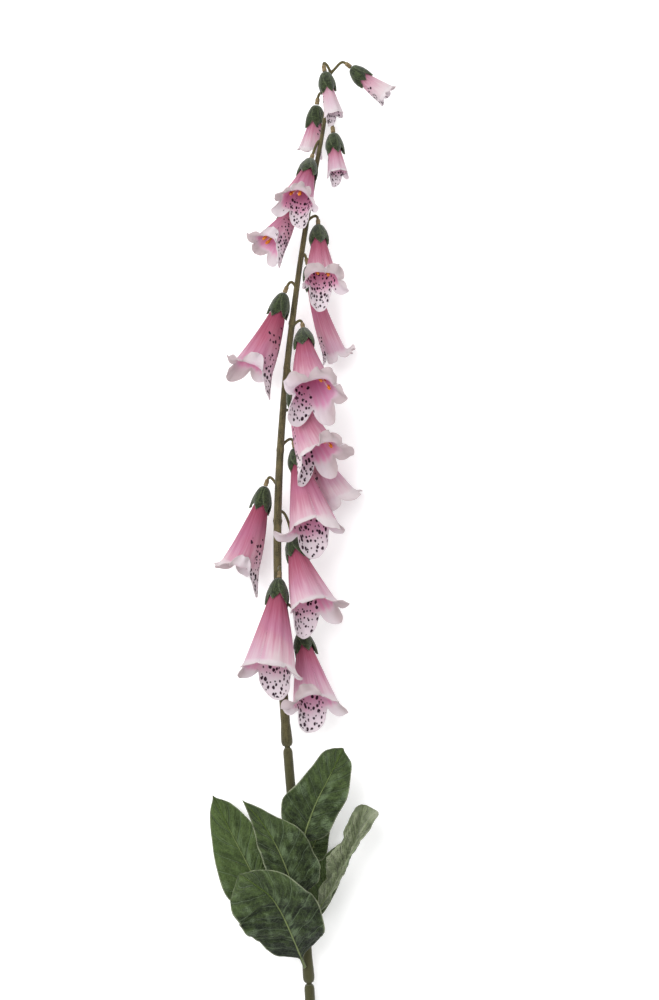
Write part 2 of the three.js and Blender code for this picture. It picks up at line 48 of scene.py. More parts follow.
STEM_RADII = (3.1, 3.1, 2.9, 2.7, 2.4, 2.1, 1.75, 1.6, 1.25, 0.9)
UPPER_JOINT, LOWER_JOINT = -102, -245.5
SOCKET_RADIUS, SOCKET_SWELL = 3.6, 14
SPIGOT_RADIUS, JOINT_GAP, RIM_ROUNDING = 1.7, 1.0, (0.9, 0.25, 0.05)
KNOTS = ((152.4, 0.45), (33.6, 0.5), (125.6, 0.25), (76.2, 0.25))  # height on the stem, and rise
KNOT_LENGTH = 1.3
GREENER = (-60.0, -130.0)  # the heights between which the stem turns greener towards its foot


def through(points, count=None, at=None):
    """Points on one smooth line through all those given, evenly spaced or at shares of their number."""
    points = np.array(points, float)
    ends = np.vstack([2 * points[0] - points[1], points, 2 * points[-1] - points[-2]])
    spans = np.sqrt(np.maximum(np.linalg.norm(np.diff(ends, axis=0), axis=1), 1e-9))
    last = len(points) - 1
    shares = np.linspace(0, 1, 80 * last + 1) if at is None else np.asarray(at, float)
    k = np.minimum((shares * last).astype(int), last - 1)
    t = (shares * last - k)[:, None]
    p0, p1, p2, p3 = (ends[k + n] for n in range(4))
    d0, d1, d2 = (spans[k + n][:, None] for n in range(3))
    leave = ((p1 - p0) / d0 - (p2 - p0) / (d0 + d1) + (p2 - p1) / d1) * d1
    arrive = ((p2 - p1) / d1 - (p3 - p1) / (d1 + d2) + (p3 - p2) / d2) * d1
    line = (
        (2 * t**3 - 3 * t**2 + 1) * p1 + (t**3 - 2 * t**2 + t) * leave
        + (3 * t**2 - 2 * t**3) * p2 + (t**3 - t**2) * arrive
    )
    return line if count is None else evenly(line, count)


def evenly(line, count):
    """The same line with its points at equal distances."""
    run = np.concatenate([[0], np.cumsum(np.linalg.norm(np.diff(line, axis=0), axis=1))])
    at = np.linspace(0, run[-1], count)
    return np.stack([np.interp(at, run, line[:, k]) for k in range(3)], axis=1)


def unit(vectors):
    return vectors / np.maximum(np.linalg.norm(vectors, axis=-1, keepdims=True), 1e-12)


def pick(*pieces):
    """Selects these pieces alone, and makes the first of them the active one."""
    bpy.ops.object.select_all(action="DESELECT")
    for piece in pieces:
        piece.select_set(True)
    bpy.context.view_layer.objects.active = pieces[0]


def shaped_grid(name, across, along, place):
    """A flat grid whose points are then moved. place takes whole columns and rows and gives mm."""
    bpy.ops.object.select_all(action="DESELECT")
    bpy.ops.mesh.primitive_grid_add(x_subdivisions=across, y_subdivisions=along, size=2)
    piece = bpy.context.object
    piece.name = piece.data.name = name
    flat = np.empty(3 * len(piece.data.vertices))
    piece.data.vertices.foreach_get("co", flat)
    column, row = (flat.reshape(-1, 3)[:, :2].T + 1) / 2 * [[across], [along]]
    spots = place(np.rint(column).astype(int), np.rint(row).astype(int))
    piece.data.vertices.foreach_set("co", (spots * MM).ravel())
    piece.data.update()
    return piece


def closed_up(piece, outward):
    """Merges the seam and the ends, and turns the faces the way outward says they look."""
    bpy.ops.object.mode_set(mode="EDIT")
    bpy.ops.mesh.select_all(action="SELECT")
    bpy.ops.mesh.remove_doubles(threshold=2e-6)
    bpy.ops.mesh.normals_make_consistent(inside=False)
    bpy.ops.object.mode_set(mode="OBJECT")
    faces = piece.data.polygons
    middles, normals, areas = np.empty(3 * len(faces)), np.empty(3 * len(faces)), np.empty(len(faces))
    faces.foreach_get("center", middles)
    faces.foreach_get("normal", normals)
    faces.foreach_get("area", areas)
    wanted = outward(middles.reshape(-1, 3) / MM)
    if ((wanted * normals.reshape(-1, 3)).sum(axis=1) * areas).sum() < 0:
        bpy.ops.object.mode_set(mode="EDIT")
        bpy.ops.mesh.select_all(action="SELECT")
        bpy.ops.mesh.flip_normals()
        bpy.ops.object.mode_set(mode="OBJECT")
    return piece


def smoothed(piece, degrees=50):
    pick(piece)
    bpy.ops.object.shade_smooth_by_angle(angle=math.radians(degrees))
    return piece


def tube(name, line, radii, around, ripple=None):
    """A round tube along a line, a grid that is rolled up and closed over at its ends."""
    tangents = unit(np.gradient(line, axis=0))
    over = np.zeros_like(line)
    way = np.cross(tangents[0], (0.31, 0.05, 0.95))
    for k, tangent in enumerate(tangents):
        way = unit(way - tangent * (way @ tangent))
        over[k] = way
    beside = np.cross(tangents, over)
    rows = len(line) + 1
    radii = np.asarray(radii, float)

    def place(column, row):
        k = np.clip(row - 1, 0, len(line) - 1)
        turn = 2 * np.pi * (column % around) / around
        radius = np.where((row == 0) | (row == rows), 0, radii[k])
        if ripple is not None:
            radius = radius * ripple(turn, k)
        away = over[k] * np.cos(turn)[:, None] + beside[k] * np.sin(turn)[:, None]
        return line[k] + radius[:, None] * away

    def outward(middles):
        nearest = np.argmin(np.linalg.norm(middles[:, None] - line[None, ::4], axis=2), axis=1)
        return middles - line[::4][nearest]

    return smoothed(closed_up(shaped_grid(name, around, rows, place), outward))


class Socket:
    """A number, colour or vector that runs along a wire between a material's nodes."""

    def __init__(self, finish, socket):
        self.finish, self.socket = finish, socket

    def sum_with(self, operation, *others, first=None):
        values = [self, *others] if first is None else [first, self]
        return self.finish.node("Math", {"operation": operation}, dict(enumerate(values)))

    def __add__(self, other):
        return self.sum_with("ADD", other)

    def __radd__(self, other):
        return self.sum_with("ADD", other)

    def __sub__(self, other):
        return self.sum_with("SUBTRACT", other)

    def __rsub__(self, other):
        return self.sum_with("SUBTRACT", first=other)

    def __mul__(self, other):
        return self.sum_with("MULTIPLY", other)

    def __pow__(self, other):
        return self.sum_with("POWER", other)

    def __abs__(self):
        return self.sum_with("ABSOLUTE")

    def part(self):
        return self.sum_with("FRACT")

    def most(self, other):
        return self.sum_with("MAXIMUM", other)

    def rises(self, low, high):
        """0 below low, 1 above high, and a smooth step between."""
        return self.finish.node(
            "MapRange", {"interpolation_type": "SMOOTHSTEP"},
            {"Value": self, "From Min": low, "From Max": high},
        )


class Finish:
    """A material, and the one way in which its nodes are made."""

    def __init__(self, name):
        self.material = bpy.data.materials.new(name)
        self.material.use_nodes = True
        self.tree = self.material.node_tree
        self.tree.nodes.clear()

    def node(self, kind, settings=None, sockets=None, out=0):
        """One node, with what is set on it, what runs into it, and which of its outputs is used."""
        made = self.tree.nodes.new("ShaderNode" + kind)
        for key, value in (settings or {}).items():
            if key != "stops":
                setattr(made, key, value)
                continue
            ramp = made.color_ramp
            while len(ramp.elements) < len(value):
                ramp.elements.new(1)
            for element, (position, colour) in zip(ramp.elements, value):
                element.position, element.color = position, colour
        for key, value in (sockets or {}).items():
            if isinstance(value, Socket):
                self.tree.links.new(value.socket, made.inputs[key])
            else:
                made.inputs[key].default_value = value
        return Socket(self, made.outputs[out])

    def parts(self, vector):
        """The three numbers of a vector."""
        split = self.node("SeparateXYZ", None, {"Vector": vector})
        return [Socket(self, socket) for socket in split.socket.node.outputs]

    def attribute(self, name):
        return self.node("Attribute", {"attribute_name": name}, out=1)

    def place(self):
        """The point on the object, in millimetres."""
        where = self.node("TexCoord", out=3)
        return self.node("VectorMath", {"operation": "SCALE"}, {0: where, "Scale": 1000.0})

    def noise(self, vector, scale, detail=2.0, roughness=0.5):
        return self.node(
            "TexNoise", None,
            {"Vector": vector, "Scale": scale, "Detail": detail, "Roughness": roughness},
        )

    def mixed(self, share, low, high):
        """From one colour to another."""
        return self.node("Mix", {"data_type": "RGBA"}, {0: share, 6: low, 7: high}, out=2)

    def stretched(self, vector, scale):
        return self.node("VectorMath", {"operation": "MULTIPLY"}, {0: vector, 1: scale})

    def bump(self, height, distance, strength=1.0):
        return self.node("Bump", None, {"Height": height, "Distance": distance, "Strength": strength})

    def shader(self, **sockets):
        named = {key.replace("_", " "): value for key, value in sockets.items()}
        return self.node("BsdfPrincipled", None, named)

    def done(self, shader):
        end = self.tree.nodes.new("ShaderNodeOutputMaterial")
        self.tree.links.new(shader.socket, end.inputs["Surface"])
        return self.material


def paint(red, green, blue):
    """A colour on screen, 0 to 255, as the light that a surface of it sends back."""
    light = [c / 255 for c in (red, green, blue)]
    return (*(c / 12.92 if c < 0.04045 else ((c + 0.055) / 1.055) ** 2.4 for c in light), 1.0)


def flocked(name, dark, light, low_light=None, bump=0.12):
    """Short fibres shot onto glue: a matt, grainy nap that is worn thin in places."""
    finish = Finish(name)
    at = finish.place()
    grain = finish.noise(at, 2.6, 3.0, 0.7)
    patches = finish.noise(at, 0.16, 3.0, 0.6)
    threads = finish.noise(finish.stretched(at, (1.2, 0.12, 1.2)), 1.0, 3.0, 0.6)
    tone = grain.rises(0.34, 0.7) * 0.5 + patches.rises(0.35, 0.68) * 0.3
    tone = tone + threads.rises(0.35, 0.65) * 0.35 - 0.06
    colour = finish.mixed(tone, dark, light)
    flecks = finish.noise(at, 4.5, 2.0, 0.8).rises(0.6, 0.72)
    colour = finish.mixed(flecks * 0.34, colour, paint(156, 148, 112))
    if low_light is not None:
        _, height, _ = finish.parts(at)
        colour = finish.mixed(height.rises(*GREENER) * (tone * 0.6 + 0.3), colour, low_light)
    nap = finish.bump(grain, bump * MM, 0.7)
    return finish.done(finish.shader(
        Base_Color=colour, Roughness=0.9, Normal=nap, Sheen_Weight=0.25, Sheen_Roughness=0.5,
        Specular_IOR_Level=0.25,
    ))


stem_nap = flocked("stem_nap", paint(34, 30, 16), paint(108, 98, 66), paint(46, 52, 24))
stem_line = through(STEM_LINE, 1600)


def stem_between(low, high, spacing=1.4):
    """The stem's line between two heights, and its radii there."""
    inside = stem_line[(stem_line[:, 1] >= low) & (stem_line[:, 1] <= high)]
    line = evenly(inside, int((high - low) / spacing))
    radii = np.interp(line[:, 1], [p[1] for p in STEM_LINE], STEM_RADII)
    return line, radii


def stem_tube(name, low, high, joint=None):
    """One sleeve of the stem, with its knots, and with its socket where it has a joint at its foot."""
    line, radii = stem_between(low, high)
    heights = line[:, 1]
    for height, rise in KNOTS:
        radii = radii + rise * np.exp(-(((heights - height) / KNOT_LENGTH) ** 2))
    if joint is not None:
        share = np.clip((heights - joint) / SOCKET_SWELL, 0, 1)
        radii = radii + (SOCKET_RADIUS - radii) * np.cos(share * np.pi / 2) * (share < 1)
        radii[:3] -= RIM_ROUNDING
    if high < 0:
        radii[-2:] -= (0.15, 0.7)
    phases = np.random.default_rng(len(name)).uniform(0, 6.28, 2)

    def ripple(turn, k):
        y = heights[k]
        oval = np.sin(2 * turn + y / 17 + phases[0]) + np.sin(3 * turn - y / 9 + phases[1])
        return 1 + 0.012 * oval

    sleeve = tube(name, line, radii, 28, ripple)
    # The foot rests on the table.
    for vertex in sleeve.data.vertices:
        vertex.co.z = max(vertex.co.z, 0.0)
    return sleeve


upper_sleeve = stem_tube("stem_upper_sleeve", UPPER_JOINT, 304, UPPER_JOINT)
middle_sleeve = stem_tube("stem_middle_sleeve", LOWER_JOINT, UPPER_JOINT - JOINT_GAP, LOWER_JOINT)
foot_sleeve = stem_tube("stem_foot_sleeve", -310.4, LOWER_JOINT - JOINT_GAP)
for joint, name in ((UPPER_JOINT, "stem_upper_spigot"), (LOWER_JOINT, "stem_lower_spigot")):
    line, _ = stem_between(joint - 3, joint + 5, 1.0)
    spigot = tube(name, line, [SPIGOT_RADIUS] * len(line), 20)
    spigot.data.materials.append(stem_nap)
    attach(spigot, "root")
for sleeve, node in (
    (upper_sleeve, "stem_upper"), (middle_sleeve, "stem_middle"), (foot_sleeve, "stem_foot"),
):
    sleeve.data.materials.append(stem_nap)
    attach(sleeve, "root")
    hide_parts(node)


# Bells. Each is one piece of dyed polyester cloth, glued up along its upper side and pressed over a
# form into a tube with five lobes, the lips of which roll outwards. Spots are printed on the lower one.

# root is the height on the stem at which the stalk leaves it, base and mouth are the ends of the tube,
# faces is the way its upper side looks, in degrees, and radius is that of its mouth. lobes are the
# lengths of its five lips, rolls is how many degrees they roll by, and pale makes its dye weaker.
BELLS = [
    dict(root=303, base=(31, 306, 25), mouth=(50.5, 290.5, 27), faces=15, radius=5.8,
         lobes=(3, 3, 4, 3, 3.5), rolls=(40, 30, 10, 30, 50), pale=0.14),
    dict(root=303, base=(15, 302.5, 31), mouth=(20, 278, 38), faces=60, radius=5.2,
         lobes=(2.5, 3, 6.5, 3, 2.5), rolls=(15, 15, 5, 15, 15), pale=0.18),
    dict(root=288, base=(10, 284, 17), mouth=(6.5, 259.5, 15), faces=150, radius=6.3,
         lobes=(4, 4, 7, 4, 4), rolls=(35, 30, 5, 30, 45), pale=0.08),
    dict(root=273, base=(20, 266, 29), mouth=(22.5, 243, 36), faces=70, radius=5.6,
         lobes=(2, 4.5, 7.5, 4.5, 2), rolls=(15, 8, 5, 8, 15), pale=0.06),
    dict(root=260.5, base=(6.5, 250, 31), mouth=(-1.5, 224, 54), faces=112, radius=9.2,
         lobes=(9, 9.5, 11, 8, 8.5), rolls=(45, 50, 18, 55, 185)),
    dict(root=229, base=(-2, 225, 25), mouth=(-17, 199.5, 37), faces=192, radius=9,
         lobes=(7, 9, 14, 9, 8), rolls=(12, 15, 0, 165, 85)),
    dict(root=213, base=(11, 210.5, 32), mouth=(13, 177, 52), faces=80, radius=9.6,
         lobes=(9, 5, 13.5, 9, 9), rolls=(165, 25, 12, 70, 150)),
    dict(root=190, base=(5, 187, 25), mouth=(20, 137, 14), faces=5, radius=6.6,
         lobes=(8, 8, 8, 9, 9), rolls=(85, 60, 15, 70, 100)),
    dict(root=173, base=(-9.5, 170, 30), mouth=(-27, 127, 34), faces=190, radius=11.2,
         lobes=(14, 8, 17.5, 11.5, 8), rolls=(12, 15, 10, 172, 105), pale=-0.05),
    dict(root=149.5, base=(2, 148.5, 33), mouth=(8.5, 110, 62), faces=38, radius=13,
         lobes=(12, 12, 16, 14, 9), rolls=(182, 130, 12, 12, 45), pale=0.03),
    dict(root=122, base=(-4, 116.5, 32.5), mouth=(10.5, 75, 50), faces=26, radius=12.5,
         lobes=(11, 4, 15.5, 13, 11), rolls=(182, 8, 10, 15, 75)),
    dict(root=78, base=(-3, 77, 26.5), mouth=(8, 32, 46.2), faces=80, radius=13.6,
         lobes=(4, 12, 15, 8, 13), rolls=(20, 105, 10, 30, 12)),
    dict(root=99, base=(4, 86, 20), mouth=(20.5, 50, 14), faces=5, radius=11,
         lobes=(9, 9, 10, 9, 9), rolls=(60, 45, 15, 45, 60), pale=0.08),
    dict(root=38, base=(-4.5, 24, 26), mouth=(7.4, -16, 45), faces=55, radius=13.2,
         lobes=(6, 4, 14, 12, 12), rolls=(45, 20, 10, 25, 60), pale=0.03),
    dict(root=53.5, base=(-21, 54, 25), mouth=(-35.5, 9, 20), faces=188, radius=10.8,
         lobes=(11, 10, 17.5, 11, 8), rolls=(35, 20, 5, 172, 65), pale=-0.03),
    dict(root=2, base=(-12.5, -1, 37), mouth=(-18.5, -52, 53), faces=112, radius=15,
         lobes=(6, 8, 16, 9, 6), rolls=(30, 40, 8, 45, 40), pale=0.05),
    dict(root=-17, base=(1, -33, 20), mouth=(9, -74, 38), faces=72, radius=12.8,
         lobes=(11, 10, 14.5, 11, 7), rolls=(178, 110, 10, 45, 15), pale=0.04),
]
BELL_FOOT, BELL_START, BELL_BOW, BELL_PLEAT, BELL_BELLY = 1.5, 1.75, 0.03, 0.045, 0.16
LOBE_EDGES = (0, 68, 130, 230, 292, 360)  # degrees round the mouth from the upper notch
LOWER_LOBE = 2
NOTCHES = (0.55, 0.35, 0.2, 0.2, 0.35, 0.55)  # how far out they lie, as a share of the shorter lobe
NARROWING, SPOON, RUFFLE = 0.12, 0.11, 0.22
LOBE_COLUMNS, TUBE_ROWS, LOBE_ROWS, ROLL_STEPS = 22, 34, 20, 14
PETAL_CLOTH, REST_HEIGHT = 0.4, 0.3
SPOT_CELL = (2.15, 2.9)  # how far apart the spots are, across and along


def set_out(bell):
    """Works out where a bell hangs: its foot, its length, its axis and the way its upper side looks."""
    foot, mouth = np.array(bell["base"], float), np.array(bell["mouth"], float)
    bell["foot"], bell["length"] = foot, np.linalg.norm(mouth - foot)
    bell["axis"] = unit(mouth - foot)
    way = math.radians(bell["faces"])
    up = np.array([math.cos(way), 0, math.sin(way)])
    bell["up"] = unit(up - bell["axis"] * (up @ bell["axis"]))
    bell["side"] = np.cross(bell["axis"], bell["up"])


def round_bell(bell, along, radius, turn):
    """Points along a bell's bowed axis and a radius away from it, turned from its upper side."""
    length = bell["length"]
    bow = np.where(along < length, -4 * BELL_BOW * along * (1 - along / length), 0)
    spots = (
        bell["foot"] + along[:, None] * bell["axis"]
        + (radius * np.cos(turn) + bow)[:, None] * bell["up"]
        + (radius * np.sin(turn))[:, None] * bell["side"]
    )
    spots[:, 2] = np.maximum(spots[:, 2], REST_HEIGHT)
    return spots


def tube_radius(bell, share):
    return BELL_FOOT + (bell["radius"] - BELL_FOOT) * ((1 + BELL_BELLY) * share - BELL_BELLY * share**2)


def petal_finish(name, stops, spots_from, spots_wide, translucence, lip_shade):
    """Dyed cloth that pales from stop to stop, with streaks along the tube and dark spots below.

    The spots start spots_from the mouth and lie up to spots_wide to both sides of the lower lobe's
    middle. Where a lip rolls over it is mixed with grey, by the share that is given, as painted shade.
    """
    finish = Finish(name)
    ring, petal = finish.attribute("ring"), finish.attribute("petal")
    _, _, share = finish.parts(ring)
    across, along, lip = finish.parts(petal)
    streaks = finish.noise(finish.stretched(ring, (3.2, 3.2, 0.7)), 2.2, 5.0, 0.62)
    fine = finish.noise(finish.stretched(ring, (22.0, 22.0, 2.2)), 3.0, 2.0, 0.6)
    _, _, pale = finish.parts(finish.attribute("scatter"))
    tone = share * 0.5 + pale + (streaks - 0.5) * 0.34 * (1.0 - lip * 0.85)
    tone = tone + (fine - 0.5) * 0.05
    cloth = finish.node("ValToRGB", {"stops": stops}, {"Fac": tone})
    lilac = finish.noise(finish.place(), 0.04, 2.0).rises(0.42, 0.62) * share.rises(0.25, 0.7)
    cloth = finish.mixed(lilac * (1.0 - lip) * 0.24, cloth, paint(198, 140, 184))
    # The spots: one for each cell of a scatter, of its own size, stretched along the petal.
    scatter = finish.attribute("scatter")
    rough = finish.node("TexNoise", None, {"Vector": scatter, "Scale": 0.55, "Detail": 1.0}, out=1)
    wander = finish.node("VectorMath", {"operation": "SUBTRACT"}, {0: rough, 1: (0.5, 0.5, 0.5)})
    wander = finish.stretched(wander, (0.7, 0.9, 0.0))
    scatter = finish.node("VectorMath", {"operation": "ADD"}, {0: scatter, 1: wander})
    scatter = finish.stretched(scatter, (1 / SPOT_CELL[0], 1 / SPOT_CELL[1], 0.0))
    cell = {"Vector": scatter, "Scale": 1.0, "Randomness": 1.0}
    distance = finish.node("TexVoronoi", {"voronoi_dimensions": "2D"}, cell)
    by_cell = finish.node("TexVoronoi", {"voronoi_dimensions": "2D"}, cell, out=1)
    luck, luck_b, _ = finish.parts(by_cell)
    size = luck**1.4 * 0.28 + 0.16
    inside = 1.0 - abs(across).rises(spots_wide * 0.6, spots_wide)
    reach = along.rises(spots_from * 2.2, spots_from * 0.2) * (1.0 - lip.rises(0.84, 0.95))
    reach = reach * inside
    kept = reach.rises(luck_b * 0.9, luck_b * 0.9 + 0.03)
    dark = (1.0 - distance.rises(size - 0.06, size + 0.03)) * kept
    halos_and_lip_shade = finish.mixed(reach * 0.25, cloth, paint(238, 226, 234))
    # Lips that roll back on the upper lobes are mixed with grey: painted shade where they face away from
    # the lamp.
    rolled = abs(across).rises(15.0, 22.0) * lip.rises(0.1, 0.5) * lip_shade
    halos_and_lip_shade = finish.mixed(rolled, halos_and_lip_shade, paint(192, 176, 177))
    colour = finish.mixed(dark * 0.97, halos_and_lip_shade, paint(42, 3, 32))
    weave = finish.noise(finish.stretched(ring, (60.0, 60.0, 7.0)), 3.0, 2.0, 0.6)
    folds = finish.noise(finish.stretched(ring, (1.7, 1.7, 0.5)), 2.0, 3.0, 0.55)
    nap = finish.bump(weave * 0.35 + streaks * 0.8 + folds * 1.6, 0.6 * MM, 0.5)
    body = finish.shader(
        Base_Color=colour, Roughness=0.62, Normal=nap, Sheen_Weight=0.06, Sheen_Roughness=0.4,
        Specular_IOR_Level=0.25,
    )
    through_light = finish.node("BsdfTranslucent", None, {"Color": colour, "Normal": nap})
    return finish.done(finish.node("MixShader", None, {0: translucence, 1: body, 2: through_light}))


petal_outside = petal_finish("petal_outside", (
    (0.0, paint(146, 54, 82)), (0.14, paint(166, 78, 104)), (0.26, paint(182, 102, 127)),
    (0.37, paint(198, 136, 158)), (0.46, paint(214, 176, 190)), (0.56, paint(222, 205, 209)),
    (0.7, paint(226, 218, 220)),
), spots_from=-14.0, spots_wide=11.0, translucence=0.4, lip_shade=0.0)
petal_inside = petal_finish("petal_inside", (
    (0.0, paint(194, 78, 122)), (0.25, paint(226, 122, 168)), (0.38, paint(234, 150, 190)),
    (0.48, paint(234, 176, 206)), (0.58, paint(230, 206, 217)), (0.7, paint(226, 218, 222)),
), spots_from=-9.0, spots_wide=13.5, translucence=0.42, lip_shade=0.75)


def petal_bell(bell, number):
    """One bell: a grid of cloth rolled round the axis, drawn together at its foot and cut into lobes."""
    luck = np.random.default_rng(100 + number)
    phases = luck.uniform(0, 2 * np.pi, 8)
    overlap = luck.uniform(0.5, 0.8)
    lobes, rolls = np.array(bell["lobes"], float), np.radians(bell["rolls"])
    columns, rows = 5 * LOBE_COLUMNS, 1 + TUBE_ROWS + LOBE_ROWS
    length, radius_at_mouth = bell["length"], bell["radius"]
    slope = math.atan2(radius_at_mouth - BELL_FOOT, length)
    notches = np.array([min(lobes[k - 1], lobes[k % 5]) * NOTCHES[k] for k in range(6)])

    def laid(column, row):
        around = column % columns
        even = 2 * np.pi * around / columns
        turn = np.radians(np.interp(around / LOBE_COLUMNS, range(6), LOBE_EDGES))
        lobe = around // LOBE_COLUMNS
        across = 2 * (around % LOBE_COLUMNS) / LOBE_COLUMNS - 1
        share = np.clip((row - 1) / (TUBE_ROWS - 1), 0, 1)
        along = BELL_START + (length - BELL_START) * share
        tube_share = along / length
        pleat = 1 - BELL_PLEAT * np.cos(5 * even) * tube_share
        crease = 0.14 * np.sin(7 * turn + phases[0]) + 0.09 * np.sin(12 * turn + phases[1])
        crease = crease + 0.18 * np.sin(3 * turn + 2.2 * tube_share + phases[2])
        radius = tube_radius(bell, tube_share) * pleat + crease * tube_share * radius_at_mouth / 13
        # The cloth laps over itself a little along the glued seam on the upper side.
        lap = overlap * np.exp(-3.2 * turn) * (around > 0)
        radius = radius + lap * np.clip(3 * tube_share - 0.5, 0, 1)
        radius = np.where(row == 0, 0, radius)
        # The lobes roll outwards from the mouth, more at the middle of their edges than at the notches.
        out = np.clip((row - TUBE_ROWS) / LOBE_ROWS, 0, 1)
        whole = lobes[lobe]
        edge = np.where(lobe == LOWER_LOBE, 2.1, 2.4)
        reach = np.maximum(1 - np.abs(across) ** edge, 0) ** 0.66
        uneven = 1 + 0.05 * np.sin(2.5 * across * np.pi / 2 + phases[3] + lobe) * reach
        low = (notches[lobe] * (1 - across) + notches[lobe + 1] * (1 + across)) / 2
        run = (low + (whole - low) * reach * uneven) * out
        # Where a lobe meets its neighbour they roll alike. A lip that rolls far folds near its root.
        beside = rolls[(lobe + np.where(across < 0, -1, 1)) % 5]
        shared = 0.5 * np.abs(across) ** 3
        roll = rolls[lobe] * (1 - shared) + beside * shared
        roll = roll * (1 + 0.1 * np.sin(2.1 * across * np.pi + phases[4] + 1.7 * lobe))
        bent_over = 1 - 0.5 * np.clip((roll - 1.05) / 1.4, 0, 1)
        for k in range(ROLL_STEPS):
            gone = run / whole * (k + 0.5) / ROLL_STEPS
            angle = slope + roll * np.minimum(gone / bent_over, 1)
            along = along + np.cos(angle) * run / ROLL_STEPS
            radius = radius + np.sin(angle) * run / ROLL_STEPS
        ruffle = RUFFLE * np.sin(4.3 * across * np.pi + phases[5] + lobe) * out**2
        spoon = np.where(lobe == LOWER_LOBE, SPOON * whole * across**2 * out, 0)
        radius = radius + ruffle * np.minimum(whole / 10, 1) * np.cos(angle) - spoon
        half = np.radians(np.diff(LOBE_EDGES)[lobe]) / 2
        narrowed = turn - across * half * (NARROWING + 0.1 * (lobe == LOWER_LOBE)) * run / whole
        return turn, narrowed, along, radius, tube_share, out, run

    def place(column, row):
        _, narrowed, along, radius, _, _, _ = laid(column, row)
        return round_bell(bell, along, radius, narrowed)

    piece = shaped_grid(f"petals_{number:02d}", columns, rows, place)
    column, row = grid_order(columns, rows)
    turn, _, _, _, tube_share, out, run = laid(column, row)
    wide = np.minimum(tube_share, 1) * radius_at_mouth
    store(piece, "ring", np.cos(turn), np.sin(turn), tube_share + out)
    across = (turn - np.pi) * np.maximum(wide, 2)
    # The smaller the bell, the smaller its spots are, and the nearer to its lower lip they stay.
    finer = (11 / radius_at_mouth) ** 0.6
    nearer = max(finer, 1)
    past_mouth = (tube_share - 1) * length
    store(piece, "petal", across * nearer, past_mouth * nearer**1.6 + run, out)
    pale = np.full(len(across), bell.get("pale", 0))
    store(piece, "scatter", across * finer + 31.7 * number, (past_mouth + run) * finer, pale)
    return piece


def grid_order(across, along):
    """The column and row of each point of a grid, in the order in which the grid keeps them."""
    count = (across + 1) * (along + 1)
    return np.arange(count) % (across + 1), np.arange(count) // (across + 1)


def store(piece, name, x, y, z):
    """Three numbers at each point, which the material reads."""
    layer = piece.data.attributes.new(name, "FLOAT_VECTOR", "POINT")
    layer.data.foreach_set("vector", np.stack([x, y, z], axis=1).astype(np.float32).ravel())


def thickened(piece, thickness, outside, inside):
    """Gives a sheet its thickness to both sides, with one finish on its face and one on its back."""
    piece.data.materials.append(outside)
    piece.data.materials.append(inside)
    pick(piece)
    wall = piece.modifiers.new("wall", "SOLIDIFY")
    wall.thickness, wall.offset = thickness * MM, 0
    wall.use_even_offset = False
    wall.material_offset, wall.material_offset_rim = 1, 1
    bpy.ops.object.modifier_apply(modifier=wall.name)
    return smoothed(piece, 60)


def from_axis(bell):
    """What gives, for any points, the way that leads to them from a bell's axis."""

    def outward(middles):
        away = middles - bell["foot"]
        return away - (away @ bell["axis"])[:, None] * bell["axis"]

    return outward


for number, bell in enumerate(BELLS, 1):
    set_out(bell)
    petals = closed_up(petal_bell(bell, number), from_axis(bell))
    thickened(petals, PETAL_CLOTH, petal_outside, petal_inside)
    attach(petals, "root")
    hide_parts(f"bell_{number:02d}")


# Calyces. Five sepals of thick felt, die cut, cupped and glued round the foot of each bell over a
# small knob, so that the edge of each laps over the next.
SEPAL_CLOTH = 0.5
SEPAL_FOOT, SEPAL_CLEAR, SEPAL_SWELL = 1.45, 0.85, 1.3
SEPAL_COLUMNS, SEPAL_ROWS = 14, 22
KNOB_STEPS, KNOB_RADII = (-0.3, 0.1, 0.8, 1.7, 2.4), (1.2, 1.6, 1.75, 1.6, 1.2)


def sepal_finish():
    finish = Finish("sepal_felt")
    at, sepal = finish.place(), finish.attribute("sepal")
    across, share, _ = finish.parts(sepal)
    grain = finish.noise(at, 1.5, 4.0, 0.75)
    patches = finish.noise(at, 0.45, 4.0, 0.75)
    edge = abs(across).rises(0.72, 1.0).most(share.rises(0.88, 1.0))
    tone = grain.rises(0.4, 0.62) * 0.5 + patches.rises(0.42, 0.6) * 0.5
    felt = finish.mixed(tone, paint(12, 20, 8), paint(62, 73, 44))
    rubbed = finish.mixed(edge * grain.rises(0.3, 0.6) * 0.6, felt, paint(96, 106, 76))
    rib = (1.0 - abs(across).rises(0.02, 0.1)) * (1.0 - share.rises(0.5, 0.8))
    colour = finish.mixed(rib * 0.35, rubbed, paint(84, 96, 58))
    nap = finish.bump(grain + patches * 0.7, 0.3 * MM, 0.8)
    return finish.done(finish.shader(
        Base_Color=colour, Roughness=0.92, Normal=nap, Sheen_Weight=0.3, Sheen_Roughness=0.5,
        Specular_IOR_Level=0.2,
    ))


sepal_felt = sepal_finish()


